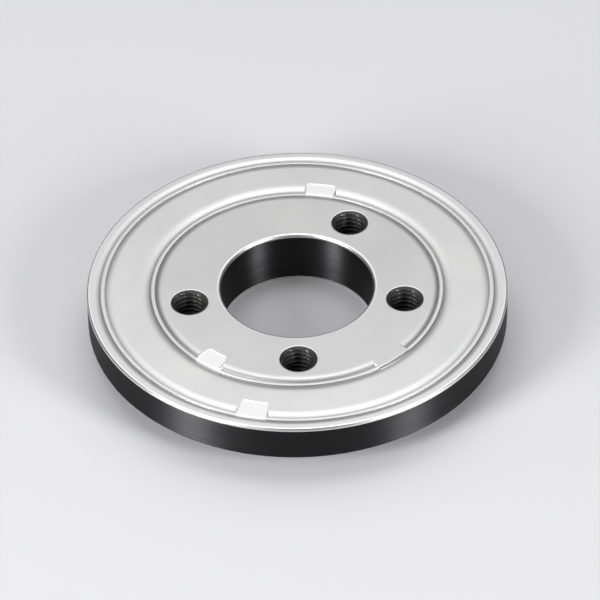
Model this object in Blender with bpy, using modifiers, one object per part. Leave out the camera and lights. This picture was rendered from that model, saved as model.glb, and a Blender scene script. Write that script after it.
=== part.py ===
"""Machined ring plate with two ridge tracks, a central bore and four tapped holes.

Metres, +Z up. The origin is on the bore's axis, on the underside of the spigot.
"""

import math

import bmesh
import bpy

MM = 0.001

# Turned body
OUTER_RADIUS = 48.0 * MM
BORE_RADIUS = 17.5 * MM
SPIGOT_RADIUS = 42.0 * MM
TOTAL_HEIGHT = 13.0 * MM
FLANGE_THICKNESS = 8.6 * MM
RIM_CHAMFER = 0.5 * MM
BORE_CHAMFER = 0.6 * MM
UNDERSIDE_CHAMFER = 0.4 * MM

# Ridge tracks: each narrow ridge stands between two moats, with its top a little below the face
INNER_RIDGE = (32.45 * MM, 33.35 * MM)
OUTER_RIDGE = (43.85 * MM, 44.85 * MM)
INNER_RIDGE_DROP = 0.4 * MM
OUTER_RIDGE_DROP = 0.25 * MM
INNER_RIDGE_INSIDE_MOAT = {"reach": -2.2 * MM, "depth": 0.7 * MM, "curve": 3.0}
INNER_RIDGE_OUTSIDE_MOAT = {"reach": 2.95 * MM, "depth": 0.65 * MM, "curve": 3.0}
OUTER_RIDGE_INSIDE_MOAT = {"reach": -1.85 * MM, "depth": 0.42 * MM, "curve": 2.0}
OUTER_RIDGE_OUTSIDE_MOAT = {"reach": 1.55 * MM, "depth": 0.5 * MM, "curve": 2.0}
RIDGE_OVERLAP = 0.1 * MM
RIDGE_END_OVERLAP = 0.1
GAP_START = 302.6
GAP_END = 317.3

# Milled pads: shallow pockets that bridge one moat and cut the ridge beside it
PAD_DEPTH = 0.15 * MM
PAD_CORNER_RADIUS = 1.2 * MM
PAD_OVERLAP = 0.1 * MM
BACK_PAD = (74.2, 85.9)
FRONT_LEFT_PAD = (226.3, 237.3)
FRONT_PAD = (251.6, 260.6)
BACK_PAD_FAR_RADIUS = 36.4 * MM
FRONT_LEFT_PAD_FAR_RADIUS = 28.7 * MM
FRONT_PAD_FAR_RADIUS = 39.7 * MM
WHOLE_TURN = 360.0

# Tapped holes, M8 x 1.25, cut at the thread's minor radius
HOLE_CIRCLE_RADIUS = 25.0 * MM
HOLE_ANGLES = (60.0, 192.0, 270.0, 347.5)
THREAD_MINOR_RADIUS = 3.325 * MM
HOLE_MOUTH_RADIUS = 4.35 * MM
HOLE_MOUTH_SLOPE = math.tan(math.radians(30.0))

# Facets
BODY_STEPS = 96
HOLE_STEPS = 28
SWEEP_STEP_DEGREES = 3.75
MOAT_CURVE_STEPS = 4
PAD_CORNER_STEPS = 4
PAD_SIDE_STEPS = 4

# How far a cutter runs past the surface that it cuts
CUTTER_CLEARANCE = 1.0 * MM
WELD_DISTANCE = 0.001 * MM
SMOOTH_ANGLE = math.radians(28.0)


def clear_scene():
    for existing in list(bpy.data.objects):
        bpy.data.objects.remove(existing, do_unlink=True)


def new_collection(name):
    collection = bpy.data.collections.new(name)
    bpy.context.scene.collection.children.link(collection)
    return collection


def ground_steel():
    material = bpy.data.materials.new("ground_steel")
    material.use_nodes = True
    shader = material.node_tree.nodes["Principled BSDF"]
    shader.inputs["Base Color"].default_value = (0.72, 0.72, 0.72, 1.0)
    shader.inputs["Metallic"].default_value = 1.0
    shader.inputs["Roughness"].default_value = 0.35
    return material


def add_mesh_object(name, mesh, collection):
    item = bpy.data.objects.new(name, mesh)
    collection.objects.link(item)
    return item


def make_cutter(item):
    item.hide_render = True
    item.display_type = "WIRE"
    return item


def turned(name, profile, closed, steps, collection):
    """An object that turns (radius, height) points about Z with a Screw modifier."""
    mesh = bpy.data.meshes.new(name)
    edges = [(i, i + 1) for i in range(len(profile) - 1)]
    if closed:
        edges.append((len(profile) - 1, 0))
    mesh.from_pydata([(radius, 0.0, height) for radius, height in profile], edges, [])
    item = add_mesh_object(name, mesh, collection)
    screw = item.modifiers.new("Turn", "SCREW")
    screw.steps = steps
    screw.render_steps = steps
    screw.use_merge_vertices = True
    screw.merge_threshold = WELD_DISTANCE
    return item


def moat_floor(wall_radius, reach, depth, curve):
    """A moat's floor from the ridge's wall, where it is deepest and steepest, up to the flat face."""
    points = []
    for step in range(MOAT_CURVE_STEPS + 1):
        across = step / MOAT_CURVE_STEPS
        height = TOTAL_HEIGHT - depth * (1.0 - across) ** curve
        points.append((wall_radius + reach * across, height))
    return points


def body_profile():
    """The plate's section, clockwise, with the one moat that runs the whole way round."""
    shoulder = TOTAL_HEIGHT - FLANGE_THICKNESS
    return [
        (BORE_RADIUS + BORE_CHAMFER, TOTAL_HEIGHT),
        (OUTER_RIDGE[1], TOTAL_HEIGHT),
        *moat_floor(OUTER_RIDGE[1], **OUTER_RIDGE_OUTSIDE_MOAT),
        (OUTER_RADIUS - RIM_CHAMFER, TOTAL_HEIGHT),
        (OUTER_RADIUS, TOTAL_HEIGHT - RIM_CHAMFER),
        (OUTER_RADIUS, shoulder + UNDERSIDE_CHAMFER),
        (OUTER_RADIUS - UNDERSIDE_CHAMFER, shoulder),
        (SPIGOT_RADIUS, shoulder),
        (SPIGOT_RADIUS, UNDERSIDE_CHAMFER),
        (SPIGOT_RADIUS - UNDERSIDE_CHAMFER, 0.0),
        (BORE_RADIUS + UNDERSIDE_CHAMFER, 0.0),
        (BORE_RADIUS, UNDERSIDE_CHAMFER),
        (BORE_RADIUS, TOTAL_HEIGHT - BORE_CHAMFER),
    ]


def swept_cutter(name, section, start_degrees, end_degrees, collection):
    """A section of (radius, height) points, swept about Z from one angle to the other."""
    start = math.radians(start_degrees)
    sweep = math.radians(end_degrees - start_degrees)
    steps = math.ceil((end_degrees - start_degrees) / SWEEP_STEP_DEGREES)
    shape = bmesh.new()
    corners = [
        shape.verts.new((radius * math.cos(start), radius * math.sin(start), height))
        for radius, height in section
    ]
    face = shape.faces.new(corners)
    bmesh.ops.spin(
        shape,
        geom=[face, *face.edges, *face.verts],
        axis=(0.0, 0.0, 1.0),
        cent=(0.0, 0.0, 0.0),
        angle=sweep,
        steps=steps,
    )
    bmesh.ops.recalc_face_normals(shape, faces=shape.faces[:])
    mesh = bpy.data.meshes.new(name)
    shape.to_mesh(mesh)
    shape.free()
    return make_cutter(add_mesh_object(name, mesh, collection))


def moat_cutter(name, wall_radius, moat, start_degrees, end_degrees, collection):
    section = moat_floor(wall_radius, **moat)
    above = TOTAL_HEIGHT + CUTTER_CLEARANCE
    section += [(section[-1][0], above), (wall_radius, above)]
    return swept_cutter(name, section, start_degrees, end_degrees, collection)


def ridge_cutter(name, ridge, drop, start_degrees, end_degrees, collection):
    """Lowers a ridge's top between two angles, with its ends run a little into the pads."""
    inner = ridge[0] - RIDGE_OVERLAP
    outer = ridge[1] + RIDGE_OVERLAP
    floor = TOTAL_HEIGHT - drop
    above = TOTAL_HEIGHT + CUTTER_CLEARANCE
    section = [(inner, floor), (outer, floor), (outer, above), (inner, above)]
    start = start_degrees - RIDGE_END_OVERLAP
    end = end_degrees + RIDGE_END_OVERLAP
    return swept_cutter(name, section, start, end, collection)


def pad_outline(half_width, ridge_radius, far_radius):
    """(along, radius) points: square corners at the ridge, rounded corners on the far side."""
    outward = math.copysign(1.0, far_radius - ridge_radius)
    points = []
    for side in (-1.0, 1.0):
        corner = []
        for step in range(PAD_CORNER_STEPS + 1):
            turn = math.radians(90.0) * step / PAD_CORNER_STEPS
            along = side * (half_width - PAD_CORNER_RADIUS * (1.0 - math.cos(turn)))
            radius = far_radius - outward * PAD_CORNER_RADIUS * (1.0 - math.sin(turn))
            corner.append((along, radius))
        points += corner if side < 0.0 else corner[::-1]
    for step in range(PAD_SIDE_STEPS + 1):
        along = half_width * (1.0 - 2.0 * step / PAD_SIDE_STEPS)
        points.append((along, ridge_radius))
    return points


def pad_cutter(name, span, ridge_radius, far_radius, collection):
    """A shallow pocket over one moat and its ridge, between two angles."""
    middle_radius = (ridge_radius + far_radius) / 2.0
    middle = math.radians((span[0] + span[1]) / 2.0)
    half_width = math.radians(span[1] - span[0]) / 2.0 * middle_radius + PAD_OVERLAP
    shape = bmesh.new()
    corners = []
    for along, radius in pad_outline(half_width, ridge_radius, far_radius):
        angle = middle + along / middle_radius
        place = (radius * math.cos(angle), radius * math.sin(angle), TOTAL_HEIGHT - PAD_DEPTH)
        corners.append(shape.verts.new(place))
    face = shape.faces.new(corners)
    extruded = bmesh.ops.extrude_face_region(shape, geom=[face])["geom"]
    raised = [part for part in extruded if isinstance(part, bmesh.types.BMVert)]
    bmesh.ops.translate(shape, verts=raised, vec=(0.0, 0.0, PAD_DEPTH + CUTTER_CLEARANCE))
    bmesh.ops.recalc_face_normals(shape, faces=shape.faces[:])
    mesh = bpy.data.meshes.new(name)
    shape.to_mesh(mesh)
    shape.free()
    return make_cutter(add_mesh_object(name, mesh, collection))


def hole_profile():
    """A hole's section from top to bottom, with a countersunk mouth at each face."""
    mouth_depth = (HOLE_MOUTH_RADIUS - THREAD_MINOR_RADIUS) * HOLE_MOUTH_SLOPE
    end_radius = HOLE_MOUTH_RADIUS + CUTTER_CLEARANCE / HOLE_MOUTH_SLOPE
    top = TOTAL_HEIGHT + CUTTER_CLEARANCE
    return [
        (0.0, top),
        (end_radius, top),
        (THREAD_MINOR_RADIUS, TOTAL_HEIGHT - mouth_depth),
        (THREAD_MINOR_RADIUS, mouth_depth),
        (end_radius, -CUTTER_CLEARANCE),
        (0.0, -CUTTER_CLEARANCE),
    ]


def hole_cutter(name, angle_degrees, collection):
    item = turned(name, hole_profile(), False, HOLE_STEPS, collection)
    angle = math.radians(angle_degrees)
    item.location.x = HOLE_CIRCLE_RADIUS * math.cos(angle)
    item.location.y = HOLE_CIRCLE_RADIUS * math.sin(angle)
    return make_cutter(item)


def moat_cutters(collection):
    inside_moats = (
        ("inner_track_inside_moat_front", FRONT_LEFT_PAD[1], GAP_START),
        ("inner_track_inside_moat_back", GAP_END, FRONT_LEFT_PAD[0] + WHOLE_TURN),
    )
    cutters = [
        moat_cutter(name, INNER_RIDGE[0], INNER_RIDGE_INSIDE_MOAT, start, end, collection)
        for name, start, end in inside_moats
    ]
    cutters.append(
        moat_cutter(
            "inner_track_outside_moat",
            INNER_RIDGE[1],
            INNER_RIDGE_OUTSIDE_MOAT,
            BACK_PAD[1],
            BACK_PAD[0] + WHOLE_TURN,
            collection,
        )
    )
    cutters.append(
        moat_cutter(
            "outer_track_inside_moat",
            OUTER_RIDGE[0],
            OUTER_RIDGE_INSIDE_MOAT,
            FRONT_PAD[1],
            FRONT_PAD[0] + WHOLE_TURN,
            collection,
        )
    )
    return cutters


def ridge_cutters(collection):
    inner_arcs = (
        ("inner_ridge_left", BACK_PAD[1], FRONT_LEFT_PAD[0]),
        ("inner_ridge_front", FRONT_LEFT_PAD[1], GAP_START),
        ("inner_ridge_right", GAP_END, BACK_PAD[0] + WHOLE_TURN),
    )
    cutters = [
        ridge_cutter(name, INNER_RIDGE, INNER_RIDGE_DROP, start, end, collection)
        for name, start, end in inner_arcs
    ]
    start = FRONT_PAD[1]
    end = FRONT_PAD[0] + WHOLE_TURN
    cutters.append(ridge_cutter("outer_ridge", OUTER_RIDGE, OUTER_RIDGE_DROP, start, end, collection))
    return cutters


def pad_cutters(collection):
    inner_side = INNER_RIDGE[0] - PAD_OVERLAP
    inner_ridge_outside = INNER_RIDGE[1] + PAD_OVERLAP
    outer_ridge_outside = OUTER_RIDGE[1] + PAD_OVERLAP
    return [
        pad_cutter("back_pad", BACK_PAD, inner_side, BACK_PAD_FAR_RADIUS, collection),
        pad_cutter(
            "front_left_pad",
            FRONT_LEFT_PAD,
            inner_ridge_outside,
            FRONT_LEFT_PAD_FAR_RADIUS,
            collection,
        ),
        pad_cutter("front_pad", FRONT_PAD, outer_ridge_outside, FRONT_PAD_FAR_RADIUS, collection),
    ]


def build_ring_plate(parts, cutters):
    """One solid: the turned body less its moats, lowered ridges, pads and tapped holes."""
    plate = turned("ring_plate", body_profile(), True, BODY_STEPS, parts)
    plate.data.materials.append(ground_steel())
    tools = moat_cutters(cutters) + ridge_cutters(cutters) + pad_cutters(cutters)
    for number, angle in enumerate(HOLE_ANGLES, start=1):
        tools.append(hole_cutter(f"tapped_hole_{number}", angle, cutters))
    for tool in tools:
        cut = plate.modifiers.new(f"Cut {tool.name}", "BOOLEAN")
        cut.operation = "DIFFERENCE"
        cut.object = tool
    shade_smooth(plate)


def shade_smooth(item):
    """Applies the modifiers, then smooths the turned faces and keeps the edges crisp."""
    graph = bpy.context.evaluated_depsgraph_get()
    mesh = bpy.data.meshes.new_from_object(item.evaluated_get(graph))
    item.modifiers.clear()
    item.data = mesh
    mesh.shade_smooth()
    mesh.set_sharp_from_angle(angle=SMOOTH_ANGLE)


def main():
    clear_scene()
    parts = new_collection("machined_ring_plate")
    cutters = new_collection("cutters")
    cutters.hide_render = True
    build_ring_plate(parts, cutters)


main()
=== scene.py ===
"""The machined ring plate's looks: its fine surface, threads and metals, a floor, lights and a camera."""

import math

import bmesh
import bpy
import numpy as np
from mathutils import Matrix, Vector
from mathutils.geometry import delaunay_2d_cdt


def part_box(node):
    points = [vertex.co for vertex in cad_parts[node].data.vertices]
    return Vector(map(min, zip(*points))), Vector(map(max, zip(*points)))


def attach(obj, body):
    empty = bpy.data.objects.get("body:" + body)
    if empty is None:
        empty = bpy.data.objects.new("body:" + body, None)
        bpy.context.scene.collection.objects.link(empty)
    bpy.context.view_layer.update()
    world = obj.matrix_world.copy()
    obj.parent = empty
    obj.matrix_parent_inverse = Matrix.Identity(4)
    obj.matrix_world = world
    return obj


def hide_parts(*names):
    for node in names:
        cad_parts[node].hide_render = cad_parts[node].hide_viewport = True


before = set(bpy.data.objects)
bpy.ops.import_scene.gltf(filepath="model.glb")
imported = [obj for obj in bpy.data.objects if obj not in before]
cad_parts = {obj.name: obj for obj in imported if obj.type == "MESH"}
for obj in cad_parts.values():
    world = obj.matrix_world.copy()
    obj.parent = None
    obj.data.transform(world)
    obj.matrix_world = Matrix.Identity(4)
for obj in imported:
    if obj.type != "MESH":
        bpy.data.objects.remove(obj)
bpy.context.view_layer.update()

LOW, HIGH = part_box("ring_plate")
MM = 0.001

# Turned body
TOP = HIGH.z
OUTER_RADIUS = HIGH.x
BORE_RADIUS = 17.5 * MM
SPIGOT_RADIUS = 42.0 * MM
SHOULDER = 4.4 * MM
RIM_CHAMFER = 0.5 * MM
BORE_CHAMFER = 0.6 * MM
UNDERSIDE_CHAMFER = 0.4 * MM
# A narrow flat strip beside each edge keeps the shading of the wide faces flat
GUARD = 0.15 * MM
CHAMFER_STEPS = 5

# Ridge tracks. A moat has its wall's radius, its reach from that wall, its depth and the power
# of its curve. It runs between two angles in degrees.
RIDGE_EDGE = 0.1 * MM
GAP = (302.6, 317.3)
BACK_PAD = (74.2, 85.9)
FRONT_LEFT_PAD = (226.3, 237.3)
FRONT_PAD = (251.6, 260.6)
INNER_RIDGE = (32.45 * MM, 33.35 * MM)
OUTER_RIDGE = (43.85 * MM, 44.85 * MM)
INNER_RIDGE_DROP = 0.4 * MM
OUTER_RIDGE_DROP = 0.25 * MM
INNER_INSIDE = {"wall": INNER_RIDGE[0], "reach": -2.2 * MM, "depth": 0.7 * MM, "curve": 3.0}
INNER_OUTSIDE = {"wall": INNER_RIDGE[1], "reach": 2.95 * MM, "depth": 0.65 * MM, "curve": 3.0}
OUTER_INSIDE = {"wall": OUTER_RIDGE[0], "reach": -1.85 * MM, "depth": 0.42 * MM, "curve": 2.0}
OUTER_OUTSIDE = {"wall": OUTER_RIDGE[1], "reach": 1.55 * MM, "depth": 0.5 * MM, "curve": 2.0}
WHOLE_TURN = 360.0
MOATS = (
    (INNER_INSIDE, FRONT_LEFT_PAD[1], GAP[0]),
    (INNER_INSIDE, GAP[1], FRONT_LEFT_PAD[0] + WHOLE_TURN),
    (INNER_OUTSIDE, BACK_PAD[1], BACK_PAD[0] + WHOLE_TURN),
    (OUTER_INSIDE, FRONT_PAD[1], FRONT_PAD[0] + WHOLE_TURN),
    (OUTER_OUTSIDE, None, None),
)
# A ridge has its radii, its drop below the face, a moat beside it, and the angles that it runs between
RIDGES = (
    (INNER_RIDGE, INNER_RIDGE_DROP, INNER_INSIDE, GAP[1], GAP[0] + WHOLE_TURN),
    (OUTER_RIDGE, OUTER_RIDGE_DROP, OUTER_INSIDE, None, None),
)
# Share of a moat's width, beside the ridge, that keeps the turned finish, whose colour is painted lighter
# as a painted highlight
MOAT_TURNED_SHARE = 0.12
MOAT_END_RAMP = 0.25 * MM
MOAT_END_CORNER = 0.9 * MM

# Pads: each has its angles, its near radius past the ridge, and its far radius across the moat
BACK_PAD_FAR_RADIUS = 36.4 * MM
FRONT_LEFT_PAD_FAR_RADIUS = 28.7 * MM
FRONT_PAD_FAR_RADIUS = 39.7 * MM
PADS = (
    (BACK_PAD, INNER_RIDGE[0], BACK_PAD_FAR_RADIUS),
    (FRONT_LEFT_PAD, INNER_RIDGE[1], FRONT_LEFT_PAD_FAR_RADIUS),
    (FRONT_PAD, OUTER_RIDGE[1], FRONT_PAD_FAR_RADIUS),
)
PAD_DEPTH = 0.15 * MM
PAD_CORNER = 1.2 * MM
PAD_RIDGE_CORNER = 0.15 * MM
PAD_EDGE = 0.15 * MM

# The tracked face's grid. It starts further in near the front-left pad.
TRACK_INSIDE = 29.9 * MM
TRACK_OUTSIDE = 47.2 * MM
PAD_GRID_INSIDE = 28.4 * MM
PAD_GRID_HALF_SPAN = 9.0
# Its steps round the plate, in degrees
EVEN_STEP = 2.0
GAP_STEP = 0.6
GAP_END_STEP = 0.1
PAD_STEP = 0.3
PAD_END_STEP = 0.08
PAD_END_REACH = 0.6
FINE_REACH = 2.0
LEAST_STEP = 0.03
ANGLE_DIGITS = 3
# Its steps outward
MOAT_STEP = 0.2 * MM
RIDGE_EDGE_SHARES = (0.03, 0.15, 0.5, 1.0)
PAD_CORNER_STEPS = 6

# Tapped holes, M8 x 1.25
HOLE_CIRCLE = 25.0 * MM
HOLE_ANGLES = (60.0, 192.0, 270.0, 347.5)
THREAD_PITCH = 1.25 * MM
THREAD_MINOR = 3.325 * MM
THREAD_MAJOR = 4.0 * MM
# Half the width of the flat at a crest and at a root, as a share of the pitch
CREST_HALF = 0.125
ROOT_HALF = 0.0625
# The thread stops just short of both faces, where the eased mouth starts
THREAD_STOP = 0.04 * MM
MOUTH_RADIUS = 4.35 * MM
MOUTH_SLOPE = math.tan(math.radians(30.0))
MOUTH_EASE = 0.12 * MM
HOLE_COLUMNS = 48
ROWS_PER_PITCH = 12

# Material slots of the mesh
GROUND, PAD, TRACK, WALL, CHAMFER, THREAD, LAND = range(7)

SMOOTH_ANGLE = math.radians(35.0)
WELD_DISTANCE = 0.0005 * MM
# Blender's number for a triangulation that keeps only what lies inside the outer edge
INSIDE_ONLY = 1
FLAT_FILL_TOLERANCE = 0.0001

# Finishes. A noise's values lie mostly between these two.
NOISE_RANGE = (0.3, 0.7)
NOISE_ROUGHNESS = 0.6
# A quarter turn of the anisotropy stretches a reflection across the turned rings
ACROSS_RINGS = 0.25

# Floor and the even light of the studio
FLOOR_SIZE = 6.0
FLOOR_COLOUR = (0.52, 0.52, 0.53)
FLOOR_ROUGHNESS = 0.7
STUDIO_COLOUR = (0.8, 0.8, 0.82, 1.0)
STUDIO_STRENGTH = 0.22

# Camera: angles in degrees, and the lens and sensor in millimetres
CAMERA_ELEVATION = 41.4
CAMERA_DISTANCE = 845.0 * MM
CAMERA_LENS = 223.4
CAMERA_SENSOR = 36.0
CAMERA_ROLL = -1.15
CAMERA_AIM = Vector((0.61 * MM, -5.19 * MM, TOP))


# ---------------------------------------------------------------- nodes


def new_material(name, metallic):
    material = bpy.data.materials.new(name)
    material.use_nodes = True
    shader = material.node_tree.nodes["Principled BSDF"]
    shader.inputs["Metallic"].default_value = metallic
    return material, shader


def object_place(tree):
    """The object's own coordinates."""
    return tree.nodes.new("ShaderNodeTexCoord").outputs["Object"]


def radial_place(tree, around, outward, upward):
    """Coordinates that stretch a texture into rings round the axis."""
    parts = tree.nodes.new("ShaderNodeSeparateXYZ")
    tree.links.new(object_place(tree), parts.inputs["Vector"])
    flat = tree.nodes.new("ShaderNodeCombineXYZ")
    tree.links.new(parts.outputs["X"], flat.inputs["X"])
    tree.links.new(parts.outputs["Y"], flat.inputs["Y"])
    length = tree.nodes.new("ShaderNodeVectorMath")
    length.operation = "LENGTH"
    tree.links.new(flat.outputs["Vector"], length.inputs[0])
    rings = tree.nodes.new("ShaderNodeMath")
    rings.operation = "MULTIPLY"
    rings.inputs[1].default_value = outward
    tree.links.new(length.outputs["Value"], rings.inputs[0])
    height = tree.nodes.new("ShaderNodeMath")
    height.operation = "MULTIPLY_ADD"
    height.inputs[1].default_value = upward
    tree.links.new(parts.outputs["Z"], height.inputs[0])
    tree.links.new(rings.outputs["Value"], height.inputs[2])
    slow = tree.nodes.new("ShaderNodeVectorMath")
    slow.operation = "SCALE"
    slow.inputs["Scale"].default_value = around
    tree.links.new(flat.outputs["Vector"], slow.inputs[0])
    turned = tree.nodes.new("ShaderNodeSeparateXYZ")
    tree.links.new(slow.outputs["Vector"], turned.inputs["Vector"])
    result = tree.nodes.new("ShaderNodeCombineXYZ")
    tree.links.new(turned.outputs["X"], result.inputs["X"])
    tree.links.new(turned.outputs["Y"], result.inputs["Y"])
    tree.links.new(height.outputs["Value"], result.inputs["Z"])
    return result.outputs["Vector"]


def noise(tree, vector, scale, detail):
    texture = tree.nodes.new("ShaderNodeTexNoise")
    texture.inputs["Scale"].default_value = scale
    texture.inputs["Detail"].default_value = detail
    texture.inputs["Roughness"].default_value = NOISE_ROUGHNESS
    tree.links.new(vector, texture.inputs["Vector"])
    return texture.outputs["Fac"]


def vary_roughness(tree, shader, value, smooth, rough):
    remap = tree.nodes.new("ShaderNodeMapRange")
    remap.inputs["From Min"].default_value = NOISE_RANGE[0]
    remap.inputs["From Max"].default_value = NOISE_RANGE[1]
    remap.inputs["To Min"].default_value = smooth
    remap.inputs["To Max"].default_value = rough
    tree.links.new(value, remap.inputs["Value"])
    tree.links.new(remap.outputs["Result"], shader.inputs["Roughness"])


def vary_colour(tree, shader, value, dark, light):
    ramp = tree.nodes.new("ShaderNodeValToRGB")
    ramp.color_ramp.elements[0].position = NOISE_RANGE[0]
    ramp.color_ramp.elements[0].color = (*dark, 1.0)
    ramp.color_ramp.elements[1].position = NOISE_RANGE[1]
    ramp.color_ramp.elements[1].color = (*light, 1.0)
    tree.links.new(value, ramp.inputs["Fac"])
    tree.links.new(ramp.outputs["Color"], shader.inputs["Base Color"])


def add_bump(tree, shader, value, distance, strength):
    bump = tree.nodes.new("ShaderNodeBump")
    bump.inputs["Distance"].default_value = distance
    bump.inputs["Strength"].default_value = strength
    tree.links.new(value, bump.inputs["Height"])
    tree.links.new(bump.outputs["Normal"], shader.inputs["Normal"])


# ---------------------------------------------------------------- materials


def ground_metal(name, dark, light):
    """A ground face: an even satin grey with a fine grain and faint clouds of tone."""
    material, shader = new_material(name, metallic=1.0)
    tree = material.node_tree
    place = object_place(tree)
    grain = noise(tree, place, scale=2600.0, detail=4.0)
    cloud = noise(tree, place, scale=60.0, detail=3.0)
    vary_colour(tree, shader, cloud, dark, light)
    vary_roughness(tree, shader, grain, smooth=0.38, rough=0.46)
    add_bump(tree, shader, grain, distance=0.014 * MM, strength=0.6)
    return material


def pad_metal():
    """A milled pad: more matte than the face round it, with its colour painted brighter than the face's as
    a painted highlight.
    """
    material, shader = new_material("milled_pad_painted_highlight", metallic=1.0)
    tree = material.node_tree
    grain = noise(tree, object_place(tree), scale=2500.0, detail=3.0)
    # The pad's lighter colour is a painted highlight; its higher roughness is its real matte finish
    vary_colour(tree, shader, grain, dark=(0.70, 0.70, 0.70), light=(0.76, 0.76, 0.755))
    vary_roughness(tree, shader, grain, smooth=0.55, rough=0.66)
    add_bump(tree, shader, grain, distance=0.006 * MM, strength=0.5)
    return material


def turned_metal(name, dark, light, smooth, rough, depth, stretch=0.0):
    """Metal left by a lathe tool, with fine rings round the axis that stretch a reflection across them."""
    material, shader = new_material(name, metallic=1.0)
    tree = material.node_tree
    place = radial_place(tree, around=25.0, outward=6000.0, upward=6000.0)
    rings = noise(tree, place, scale=1.0, detail=3.0)
    vary_colour(tree, shader, rings, dark, light)
    vary_roughness(tree, shader, rings, smooth, rough)
    add_bump(tree, shader, rings, depth, strength=0.5)
    shader.inputs["Anisotropic"].default_value = stretch
    shader.inputs["Anisotropic Rotation"].default_value = ACROSS_RINGS
    tangent = tree.nodes.new("ShaderNodeTangent")
    tangent.direction_type = "RADIAL"
    tangent.axis = "Z"
    tree.links.new(tangent.outputs["Tangent"], shader.inputs["Tangent"])
    return material


def ring_plate_materials():
    """The finishes, in the order of the material slots."""
    return (
        ground_metal("ground_face", dark=(0.475, 0.475, 0.48), light=(0.515, 0.515, 0.51)),
        pad_metal(),
        # The ridge tops and the moats' strips beside them keep a real turned finish, and their colour is
        # painted lighter than the face's: a painted highlight
        turned_metal(
            "turned_track_painted_highlight",
            dark=(0.50, 0.50, 0.50),
            light=(0.60, 0.60, 0.595),
            smooth=0.34,
            rough=0.42,
            depth=0.002 * MM,
        ),
        # The walls' colour is painted near-black, far darker than the steel: painted shade and a painted
        # dark reflection on the rim, shoulder, spigot and bore walls
        turned_metal(
            "turned_wall_painted_dark_reflection",
            dark=(0.027, 0.027, 0.028),
            light=(0.050, 0.050, 0.052),
            smooth=0.42,
            rough=0.5,
            depth=0.004 * MM,
            stretch=0.97,
        ),
        # The chamfers' colour is painted lighter than the face's: a painted highlight along the rim's and
        # the bore's broken edges
        turned_metal(
            "chamfer_painted_highlight",
            dark=(0.60, 0.60, 0.60),
            light=(0.70, 0.70, 0.695),
            smooth=0.28,
            rough=0.36,
            depth=0.001 * MM,
        ),
        # The threads' colour is painted dark: painted shade inside the tapped holes
        turned_metal(
            "cut_thread_painted_shade",
            dark=(0.06, 0.06, 0.059),
            light=(0.11, 0.11, 0.108),
            smooth=0.38,
            rough=0.46,
            depth=0.002 * MM,
        ),
        ground_metal("ground_land", dark=(0.535, 0.535, 0.54), light=(0.575, 0.575, 0.57)),
    )


# ---------------------------------------------------------------- relief of the tracked face


def smooth_step(value):
    value = np.clip(value, 0.0, 1.0)
    return value * value * (3.0 - 2.0 * value)


def moat_opening(angle, radius, moat, start, end):
    """1 where a moat is open, 0 past its ends, with a short ramp between."""
    if start is None:
        return np.ones_like(angle * radius)
    inside = np.mod(angle - start, WHOLE_TURN)
    span = end - start
    from_end = np.where(inside <= span, np.minimum(inside, span - inside), -1.0)
    along = np.radians(from_end) * radius
    across = np.clip((radius - moat["wall"]) / moat["reach"], 0.0, 1.0)
    # Only the half of a moat away from its wall has a rounded end
    rounding = MOAT_END_CORNER * np.clip(2.0 * across - 1.0, 0.0, 1.0) ** 3
    return smooth_step((along - rounding) / MOAT_END_RAMP)


def moat_depth(radius, moat):
    """Depth of a moat's section: deepest at its wall, and easing up to the flat face."""
    across = (radius - moat["wall"]) / moat["reach"]
    floor = moat["depth"] * (1.0 - np.clip(across, 0.0, 1.0)) ** moat["curve"]
    into_ridge = -across * abs(moat["reach"])
    inset = np.clip(RIDGE_EDGE - into_ridge, 0.0, RIDGE_EDGE)
    edge = RIDGE_EDGE - np.sqrt(RIDGE_EDGE**2 - inset**2)
    return np.where(across >= 0.0, floor, edge)


def pad_distance(angle, radius, span, ridge_radius, far_radius):
    """Signed distance to a pad's outline, negative inside."""
    middle = (ridge_radius + far_radius) / 2.0
    turn = np.mod(angle - sum(span) / 2.0 + WHOLE_TURN / 2.0, WHOLE_TURN) - WHOLE_TURN / 2.0
    along = np.abs(np.radians(turn) * middle)
    half_along = math.radians(span[1] - span[0]) / 2.0 * middle
    half_across = abs(far_radius - ridge_radius) / 2.0
    outward = (radius - middle) * math.copysign(1.0, far_radius - ridge_radius)
    corner = np.where(outward > 0.0, PAD_CORNER, PAD_RIDGE_CORNER)
    past_along = along - half_along + corner
    past_across = np.abs(outward) - half_across + corner
    outside = np.hypot(np.maximum(past_along, 0.0), np.maximum(past_across, 0.0))
    return outside + np.minimum(np.maximum(past_along, past_across), 0.0) - corner


def relief(angle, radius):
    """Depth below the flat face at each angle in degrees and radius."""
    depth = np.zeros_like(angle * radius)
    for moat, start, end in MOATS:
        depth = np.maximum(depth, moat_depth(radius, moat) * moat_opening(angle, radius, moat, start, end))
    for ridge, drop, moat, start, end in RIDGES:
        on_ridge = (radius > ridge[0]) & (radius < ridge[1])
        depth = depth + np.where(on_ridge, drop, 0.0) * moat_opening(angle, radius, moat, start, end)
    for span, ridge_radius, far_radius in PADS:
        inside = -pad_distance(angle, radius, span, ridge_radius, far_radius)
        share = smooth_step(inside / PAD_EDGE)
        depth = depth * (1.0 - share) + PAD_DEPTH * share
    return depth


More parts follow.
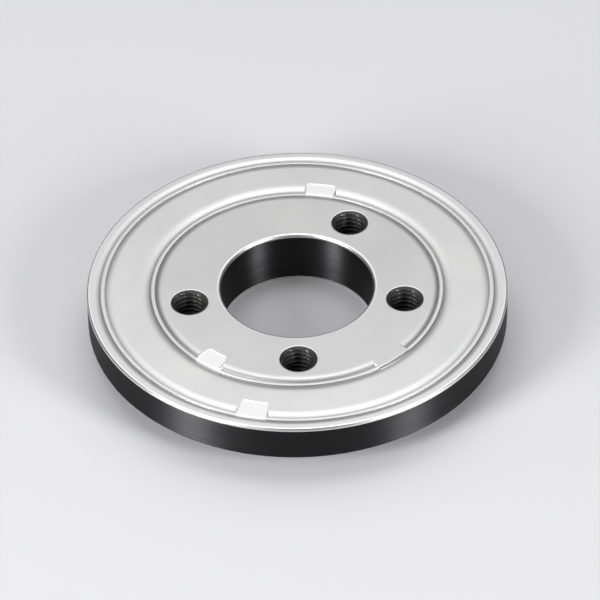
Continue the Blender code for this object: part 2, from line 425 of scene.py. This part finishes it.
def track_material(angle, radius):
    """The material slot at each angle in degrees and radius."""
    slots = np.where(radius > INNER_RIDGE[1], LAND, np.full(np.broadcast(angle, radius).shape, GROUND))
    # Ridge tops and, further down, the strips of moat beside them get the turned track, whose colour
    # carries a painted highlight
    for ridge, _, moat, start, end in RIDGES:
        on_ridge = (radius > ridge[0]) & (radius < ridge[1])
        slots = np.where(on_ridge & (moat_opening(angle, radius, moat, start, end) > 0.5), TRACK, slots)
    for moat, start, end in MOATS:
        across = (radius - moat["wall"]) / moat["reach"]
        cut = (across > 0.0) & (across < MOAT_TURNED_SHARE)
        slots = np.where(cut & (moat_opening(angle, radius, moat, start, end) > 0.0), TRACK, slots)
    for span, ridge_radius, far_radius in PADS:
        slots = np.where(pad_distance(angle, radius, span, ridge_radius, far_radius) < 0.0, PAD, slots)
    return slots


# ---------------------------------------------------------------- stations


def steps_between(start, end, step):
    return set(np.arange(start, end, step).round(ANGLE_DIGITS))


def angle_stations():
    """Degrees round the plate: even steps, with finer ones at pads and moat ends."""
    angles = steps_between(0.0, WHOLE_TURN, EVEN_STEP)
    angles |= steps_between(*GAP, GAP_STEP)
    for span in (BACK_PAD, FRONT_LEFT_PAD, FRONT_PAD):
        angles |= steps_between(span[0] - FINE_REACH, span[1] + FINE_REACH, PAD_STEP)
        for end in span:
            angles |= steps_between(end - PAD_END_REACH, end + PAD_END_REACH, PAD_END_STEP)
    for end in GAP:
        angles |= steps_between(end - FINE_REACH, end + FINE_REACH, GAP_END_STEP)
    spaced = []
    for angle in sorted(angles):
        if not spaced or angle - spaced[-1] > LEAST_STEP:
            spaced.append(angle)
    return np.array(spaced)


def moat_stations(moat):
    """Radii across a moat, from inside its ridge's rounded edge to past its far side."""
    outward = math.copysign(1.0, moat["reach"])
    steps = round(abs(moat["reach"]) / MOAT_STEP)
    floor = [moat["wall"] + moat["reach"] * i / steps for i in range(steps + 1)]
    edge = [moat["wall"] - outward * RIDGE_EDGE * share for share in RIDGE_EDGE_SHARES]
    return floor + edge + [moat["wall"] + moat["reach"] + outward * GUARD]


def grid_start(angles):
    """Where the fine grid starts: outside the holes' mouths, but inside the front-left pad's far edge."""
    from_pad = np.abs(np.mod(angles, WHOLE_TURN) - sum(FRONT_LEFT_PAD) / 2.0)
    return np.where(from_pad < PAD_GRID_HALF_SPAN, PAD_GRID_INSIDE, TRACK_INSIDE)


def radius_stations():
    radii = {PAD_GRID_INSIDE, TRACK_INSIDE, TRACK_OUTSIDE}
    for _, ridge_radius, far_radius in PADS:
        step_size = math.copysign(PAD_CORNER / PAD_CORNER_STEPS, ridge_radius - far_radius)
        radii |= {far_radius + step_size * step for step in range(-1, PAD_CORNER_STEPS + 2)}
    for moat in (INNER_INSIDE, INNER_OUTSIDE, OUTER_INSIDE, OUTER_OUTSIDE):
        radii |= set(moat_stations(moat))
    for ridge in (INNER_RIDGE, OUTER_RIDGE):
        radii.add(sum(ridge) / 2.0)
    return np.array(sorted(radii))


# ---------------------------------------------------------------- mesh


def add_grid(shape, rows, slots):
    """Quads between rows of points, each row a closed loop. slots is one slot or one per quad."""
    loops = [[shape.verts.new(point) for point in row] for row in rows]
    for r in range(len(loops) - 1):
        near, far = loops[r], loops[r + 1]
        for c in range(len(near)):
            after = (c + 1) % len(near)
            face = shape.faces.new((near[c], near[after], far[after], far[c]))
            face.material_index = int(slots if np.isscalar(slots) else slots[r, c])


def ring(angles, radius, height):
    turn = np.radians(angles)
    return np.stack([radius * np.cos(turn), radius * np.sin(turn), np.full(len(turn), height)], axis=1)


def add_turned(shape, angles, profile, slot):
    """A profile of (radius, height) points turned about the axis."""
    add_grid(shape, [ring(angles, radius, height) for radius, height in profile], slot)


def circle(angles, radius, height, centre=(0.0, 0.0)):
    """A hole's edge: a loop of points, with the centre and radius that tell what lies inside it."""
    loop = ring(angles, radius, height)
    loop[:, :2] += centre
    return {"centre": Vector(centre), "radius": radius, "loop": loop}


def fill_flat(shape, outer, holes, slot):
    """Fills the flat face between an outer loop and the holes inside it, working in millimetres."""
    points = []
    edges = []
    for loop in (outer, *(hole["loop"] for hole in holes)):
        first = len(points)
        count = len(loop)
        points += [Vector(point[:2]) / MM for point in loop]
        edges += [(first + i, first + (i + 1) % count) for i in range(count)]
    places, _, triangles, *_ = delaunay_2d_cdt(points, edges, [], INSIDE_ONLY, FLAT_FILL_TOLERANCE)
    height = outer[0][2]
    corners = [shape.verts.new((place.x * MM, place.y * MM, height)) for place in places]
    for triangle in triangles:
        middle = sum((places[i] for i in triangle), Vector((0.0, 0.0))) * MM / 3.0
        if not any((middle - hole["centre"]).length < hole["radius"] for hole in holes):
            shape.faces.new([corners[i] for i in triangle]).material_index = slot


def add_tracked_face(shape, angles):
    radii = radius_stations()
    starts = grid_start(angles)
    rows = []
    for radius in radii:
        reach = np.maximum(radius, starts)
        row = ring(angles, reach, TOP)
        row[:, 2] -= relief(angles, reach)
        rows.append(row)
    next_angles = np.append(angles[1:], WHOLE_TURN)
    middle_angles = (angles + next_angles)[None, :] / 2.0
    middle_radii = (radii[1:] + radii[:-1])[:, None] / 2.0
    add_grid(shape, rows, track_material(middle_angles, middle_radii))


def rounded_chamfer(radius, height, outward, downward, size):
    """Points of a softly broken edge, from the flat face to the wall, with a flat strip at each end."""
    points = [(radius - outward * (size + GUARD), height)]
    for step in range(CHAMFER_STEPS + 1):
        turn = math.radians(90.0) * step / CHAMFER_STEPS
        inset = outward * size * (1.0 - math.sin(turn))
        drop = downward * size * (1.0 - math.cos(turn))
        points.append((radius - inset, height - drop))
    points.append((radius, height - downward * (size + GUARD)))
    return points


def add_rim(shape, angles):
    """The rim, the shoulder and the spigot. Returns the radius where the underside's flat fill starts."""
    edge = rounded_chamfer(OUTER_RADIUS, TOP, 1.0, 1.0, RIM_CHAMFER)
    lower = rounded_chamfer(OUTER_RADIUS, SHOULDER, 1.0, -1.0, UNDERSIDE_CHAMFER)[::-1]
    add_turned(shape, angles, [(TRACK_OUTSIDE, TOP), edge[0]], LAND)
    add_turned(shape, angles, edge, CHAMFER)
    wall = [edge[-1], (OUTER_RADIUS, edge[-1][1] - GUARD), (OUTER_RADIUS, lower[0][1] + GUARD), lower[0]]
    add_turned(shape, angles, wall, WALL)
    add_turned(shape, angles, lower, WALL)
    corner = (SPIGOT_RADIUS + GUARD, SHOULDER)
    foot = rounded_chamfer(SPIGOT_RADIUS, LOW.z, 1.0, -1.0, UNDERSIDE_CHAMFER)[::-1]
    add_turned(shape, angles, [lower[-1], corner, (SPIGOT_RADIUS, SHOULDER)], WALL)
    spigot = [(SPIGOT_RADIUS, SHOULDER), (SPIGOT_RADIUS, foot[0][1] + GUARD), foot[0]]
    add_turned(shape, angles, spigot, WALL)
    add_turned(shape, angles, foot, CHAMFER)
    inner = foot[-1][0] - GUARD
    add_turned(shape, angles, [foot[-1], (inner, LOW.z)], GROUND)
    return inner


def add_bore(shape, angles):
    """The bore's wall. Returns the radii where the flat fills of the top and the underside end."""
    mouth = rounded_chamfer(BORE_RADIUS, TOP, -1.0, 1.0, BORE_CHAMFER)
    foot = rounded_chamfer(BORE_RADIUS, LOW.z, -1.0, -1.0, UNDERSIDE_CHAMFER)[::-1]
    top_edge = mouth[0][0] + GUARD
    foot_edge = foot[-1][0] + GUARD
    add_turned(shape, angles, [(top_edge, TOP), mouth[0]], GROUND)
    add_turned(shape, angles, mouth, CHAMFER)
    wall = [mouth[-1], (BORE_RADIUS, mouth[-1][1] - GUARD), (BORE_RADIUS, foot[0][1] + GUARD), foot[0]]
    add_turned(shape, angles, wall, WALL)
    add_turned(shape, angles, foot, CHAMFER)
    add_turned(shape, angles, [foot[-1], (foot_edge, LOW.z)], GROUND)
    return top_edge, foot_edge


def thread_radius(phase):
    """The thread's radius over one pitch: crest flat, flank, root flat, flank."""
    corners = (0.0, CREST_HALF, 0.5 - ROOT_HALF, 0.5 + ROOT_HALF, 1.0 - CREST_HALF, 1.0)
    radii = (THREAD_MINOR, THREAD_MINOR, THREAD_MAJOR, THREAD_MAJOR, THREAD_MINOR, THREAD_MINOR)
    return np.interp(np.mod(phase, 1.0), corners, radii)


def add_tapped_hole(shape, angle_degrees):
    """A through thread with a countersunk, eased mouth at each face. Returns its two outer loops."""
    turn = math.radians(angle_degrees)
    centre = np.array([HOLE_CIRCLE * math.cos(turn), HOLE_CIRCLE * math.sin(turn), 0.0])
    columns = np.arange(HOLE_COLUMNS) * WHOLE_TURN / HOLE_COLUMNS
    count = round((TOP - LOW.z) / THREAD_PITCH * ROWS_PER_PITCH)
    heights = np.linspace(TOP - THREAD_STOP, LOW.z + THREAD_STOP, count)
    rows = []
    for height in heights:
        from_face = min(TOP - height, height - LOW.z)
        cone = MOUTH_RADIUS - from_face / MOUTH_SLOPE
        radius = np.maximum(thread_radius(height / THREAD_PITCH - columns / WHOLE_TURN), cone)
        rows.append(ring(columns, radius, height) + centre)
    add_grid(shape, rows, THREAD)
    outer = []
    for face, end in ((TOP, rows[0]), (LOW.z, rows[-1])):
        eased = circle(columns, MOUTH_RADIUS + MOUTH_EASE, face, centre[:2])
        guard = circle(columns, MOUTH_RADIUS + MOUTH_EASE + GUARD, face, centre[:2])
        add_grid(shape, [end, eased["loop"]], LAND)
        add_grid(shape, [eased["loop"], guard["loop"]], GROUND)
        outer.append(guard)
    return outer


def ring_plate_mesh():
    shape = bmesh.new()
    angles = angle_stations()
    add_tracked_face(shape, angles)
    spigot_inner = add_rim(shape, angles)
    bore_top, bore_foot = add_bore(shape, angles)
    tops, feet = zip(*(add_tapped_hole(shape, angle) for angle in HOLE_ANGLES))
    top_outer = ring(angles, grid_start(angles), TOP)
    fill_flat(shape, top_outer, [circle(angles, bore_top, TOP), *tops], GROUND)
    foot_outer = ring(angles, spigot_inner, LOW.z)
    fill_flat(shape, foot_outer, [circle(angles, bore_foot, LOW.z), *feet], GROUND)
    bmesh.ops.remove_doubles(shape, verts=shape.verts[:], dist=WELD_DISTANCE)
    bmesh.ops.recalc_face_normals(shape, faces=shape.faces[:])
    mesh = bpy.data.meshes.new("ring_plate_surface")
    shape.to_mesh(mesh)
    shape.free()
    mesh.shade_smooth()
    mesh.set_sharp_from_angle(angle=SMOOTH_ANGLE)
    return mesh


def make_ring_plate():
    mesh = ring_plate_mesh()
    for material in ring_plate_materials():
        mesh.materials.append(material)
    plate = bpy.data.objects.new("ring_plate_surface", mesh)
    bpy.context.scene.collection.objects.link(plate)
    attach(plate, "root")
    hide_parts("ring_plate")


# ---------------------------------------------------------------- floor, lights and camera


def make_floor():
    bpy.ops.mesh.primitive_plane_add(size=FLOOR_SIZE, location=(0.0, 0.0, LOW.z))
    floor = bpy.context.object
    floor.name = "studio_floor"
    material, shader = new_material("pale_floor", metallic=0.0)
    shader.inputs["Base Color"].default_value = (*FLOOR_COLOUR, 1.0)
    shader.inputs["Roughness"].default_value = FLOOR_ROUGHNESS
    floor.data.materials.append(material)


def add_softbox(name, azimuth, elevation, distance, size, power):
    """An area light aimed at the plate, in degrees, metres and watts. Azimuth 0 is in front."""
    light = bpy.data.lights.new(name, "AREA")
    light.shape = "RECTANGLE"
    light.size = size[0]
    light.size_y = size[1]
    light.energy = power
    lamp = bpy.data.objects.new(name, light)
    bpy.context.scene.collection.objects.link(lamp)
    a, e = math.radians(azimuth), math.radians(elevation)
    away = Vector((math.sin(a) * math.cos(e), -math.cos(a) * math.cos(e), math.sin(e)))
    lamp.location = away * distance
    lamp.rotation_mode = "QUATERNION"
    lamp.rotation_quaternion = away.to_track_quat("Z", "Y")


def make_lights():
    add_softbox("overhead_softbox", azimuth=179.0, elevation=60.0, distance=1.3, size=(1.6, 1.2), power=8.3)
    add_softbox("top_panel", azimuth=180.0, elevation=76.0, distance=1.15, size=(1.0, 0.45), power=2.8)
    add_softbox("left_strip", azimuth=-53.0, elevation=20.0, distance=1.0, size=(0.28, 0.5), power=13.5)
    add_softbox("right_strip", azimuth=54.0, elevation=20.0, distance=1.0, size=(0.26, 0.5), power=10.0)
    add_softbox("front_fill", azimuth=-45.0, elevation=52.0, distance=1.2, size=(0.5, 0.4), power=1.2)
    world = bpy.data.worlds.new("studio")
    world.use_nodes = True
    background = world.node_tree.nodes["Background"]
    background.inputs["Color"].default_value = STUDIO_COLOUR
    background.inputs["Strength"].default_value = STUDIO_STRENGTH
    bpy.context.scene.world = world
    bpy.context.scene.view_settings.view_transform = "Standard"


def make_camera():
    data = bpy.data.cameras.new("camera")
    data.lens = CAMERA_LENS
    data.sensor_width = CAMERA_SENSOR
    camera = bpy.data.objects.new("camera", data)
    bpy.context.scene.collection.objects.link(camera)
    tilt = math.radians(CAMERA_ELEVATION)
    back = Vector((0.0, -math.cos(tilt), math.sin(tilt)))
    turn = back.to_track_quat("Z", "Y").to_matrix().to_4x4()
    roll = Matrix.Rotation(math.radians(CAMERA_ROLL), 4, "Z")
    camera.matrix_world = Matrix.Translation(CAMERA_AIM + back * CAMERA_DISTANCE) @ turn @ roll
    bpy.context.scene.camera = camera


make_camera()
make_ring_plate()
make_floor()
make_lights()
